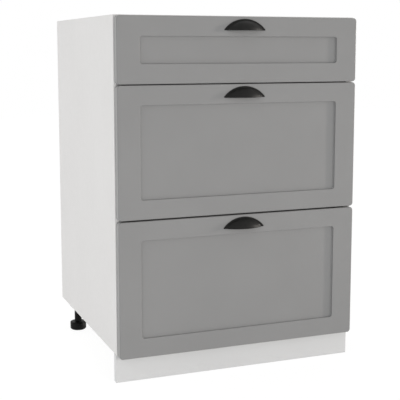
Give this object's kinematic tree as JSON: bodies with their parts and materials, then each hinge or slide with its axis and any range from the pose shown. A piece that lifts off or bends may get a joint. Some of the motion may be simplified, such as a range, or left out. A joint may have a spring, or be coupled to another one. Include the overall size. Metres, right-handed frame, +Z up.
{
  "type": "kitchen base cabinet with drawers",
  "caption": "Kitchen base cabinet: white carcass on screw feet behind a plinth, with grey shaker-style drawers on roller runners and black half-moon cup handles.",
  "frame": {"origin": "on the floor under the middle of the bounding box", "axes": "+Z up, +X to the right of someone facing the drawers, +Y towards the wall; the drawers open along -Y"},
  "size_m": [0.6, 0.585, 0.836],
  "materials": {
    "white_laminate": "white melamine laminate, fine pearl texture",
    "white_board": "white lacquered hardboard",
    "grey_front": "matt grey foil on milled board",
    "white_steel": "white powder coat",
    "black_handle": "satin black powder coat",
    "black_plastic": "moulded black plastic",
    "nylon": "natural nylon",
    "zinc": "zinc plated",
    "beech": "beech dowel",
    "clear_pad": "soft pad"
  },
  "bodies": {
    "carcass": {"left_side_panel": "white_laminate", "right_side_panel": "white_laminate", "bottom_panel": "white_laminate", "front_top_rail": "white_laminate", "rear_top_rail": "white_laminate", "back_panel": "white_board", "cam_locks": "zinc", "cam_bolts": "zinc", "dowels": "beech", "plinth_board": "white_laminate", "plinth_clips": "black_plastic", "plinth_clip_screws": "zinc", "leg_socket_screws": "zinc", "runner_screws": "zinc", "front_buffers": "clear_pad", "leg_socket_front_left": "black_plastic", "leg_socket_front_right": "black_plastic", "leg_socket_rear_left": "black_plastic", "leg_socket_rear_right": "black_plastic", "top_cabinet_runners": "white_steel", "middle_cabinet_runners": "white_steel", "bottom_cabinet_runners": "white_steel"},
    "foot_front_left": {"foot_front_left": "black_plastic"},
    "foot_front_right": {"foot_front_right": "black_plastic"},
    "foot_rear_left": {"foot_rear_left": "black_plastic"},
    "foot_rear_right": {"foot_rear_right": "black_plastic"},
    "top_drawer": {"top_drawer_front": "grey_front", "top_handle": "black_handle", "top_handle_screws": "zinc", "top_drawer_left_side": "white_laminate", "top_drawer_right_side": "white_laminate", "top_drawer_back": "white_laminate", "top_drawer_base": "white_board", "top_drawer_runners": "white_steel", "top_drawer_fixings": "zinc"},
    "top_front_rollers": {"top_front_rollers": "nylon"},
    "top_rear_rollers": {"top_rear_rollers": "nylon"},
    "middle_drawer": {"middle_drawer_front": "grey_front", "middle_handle": "black_handle", "middle_handle_screws": "zinc", "middle_drawer_left_side": "white_laminate", "middle_drawer_right_side": "white_laminate", "middle_drawer_back": "white_laminate", "middle_drawer_base": "white_board", "middle_drawer_runners": "white_steel", "middle_drawer_fixings": "zinc"},
    "middle_front_rollers": {"middle_front_rollers": "nylon"},
    "middle_rear_rollers": {"middle_rear_rollers": "nylon"},
    "bottom_drawer": {"bottom_drawer_front": "grey_front", "bottom_handle": "black_handle", "bottom_handle_screws": "zinc", "bottom_drawer_left_side": "white_laminate", "bottom_drawer_right_side": "white_laminate", "bottom_drawer_back": "white_laminate", "bottom_drawer_base": "white_board", "bottom_drawer_runners": "white_steel", "bottom_drawer_fixings": "zinc"},
    "bottom_front_rollers": {"bottom_front_rollers": "nylon"},
    "bottom_rear_rollers": {"bottom_rear_rollers": "nylon"}
  },
  "joints": [
    {"name": "foot_front_left_screw", "type": "slide", "parent": "carcass", "child": "foot_front_left", "axis": [0, 0, -1], "range_m": [0, 0.015]},
    {"name": "foot_front_right_screw", "type": "slide", "parent": "carcass", "child": "foot_front_right", "axis": [0, 0, -1], "range_m": [0, 0.015]},
    {"name": "foot_rear_left_screw", "type": "slide", "parent": "carcass", "child": "foot_rear_left", "axis": [0, 0, -1], "range_m": [0, 0.015]},
    {"name": "foot_rear_right_screw", "type": "slide", "parent": "carcass", "child": "foot_rear_right", "axis": [0, 0, -1], "range_m": [0, 0.015]},
    {"name": "top_drawer_slide", "type": "slide", "parent": "carcass", "child": "top_drawer", "axis": [0, -1, 0], "range_m": [0, 0.4]},
    {"name": "top_front_rollers_turn", "type": "hinge", "parent": "carcass", "child": "top_front_rollers", "pos_m": [0, -0.2375, 0.7296], "axis": [1, 0, 0], "continuous": true},
    {"name": "top_rear_rollers_turn", "type": "hinge", "parent": "top_drawer", "child": "top_rear_rollers", "pos_m": [0, 0.2335, 0.7293], "axis": [1, 0, 0], "continuous": true},
    {"name": "middle_drawer_slide", "type": "slide", "parent": "carcass", "child": "middle_drawer", "axis": [0, -1, 0], "range_m": [0, 0.4]},
    {"name": "middle_front_rollers_turn", "type": "hinge", "parent": "carcass", "child": "middle_front_rollers", "pos_m": [0, -0.2375, 0.4266], "axis": [1, 0, 0], "continuous": true},
    {"name": "middle_rear_rollers_turn", "type": "hinge", "parent": "middle_drawer", "child": "middle_rear_rollers", "pos_m": [0, 0.2335, 0.4263], "axis": [1, 0, 0], "continuous": true},
    {"name": "bottom_drawer_slide", "type": "slide", "parent": "carcass", "child": "bottom_drawer", "axis": [0, -1, 0], "range_m": [0, 0.4]},
    {"name": "bottom_front_rollers_turn", "type": "hinge", "parent": "carcass", "child": "bottom_front_rollers", "pos_m": [0, -0.2375, 0.1076], "axis": [1, 0, 0], "continuous": true},
    {"name": "bottom_rear_rollers_turn", "type": "hinge", "parent": "bottom_drawer", "child": "bottom_rear_rollers", "pos_m": [0, 0.2335, 0.1073], "axis": [1, 0, 0], "continuous": true}
  ],
  "couplings": [
    {"joint": "top_front_rollers_turn", "follows": "top_drawer_slide", "rad_per_m": 90.909},
    {"joint": "top_rear_rollers_turn", "follows": "top_drawer_slide", "rad_per_m": 90.909},
    {"joint": "middle_front_rollers_turn", "follows": "middle_drawer_slide", "rad_per_m": 90.909},
    {"joint": "middle_rear_rollers_turn", "follows": "middle_drawer_slide", "rad_per_m": 90.909},
    {"joint": "bottom_front_rollers_turn", "follows": "bottom_drawer_slide", "rad_per_m": 90.909},
    {"joint": "bottom_rear_rollers_turn", "follows": "bottom_drawer_slide", "rad_per_m": 90.909}
  ]
}
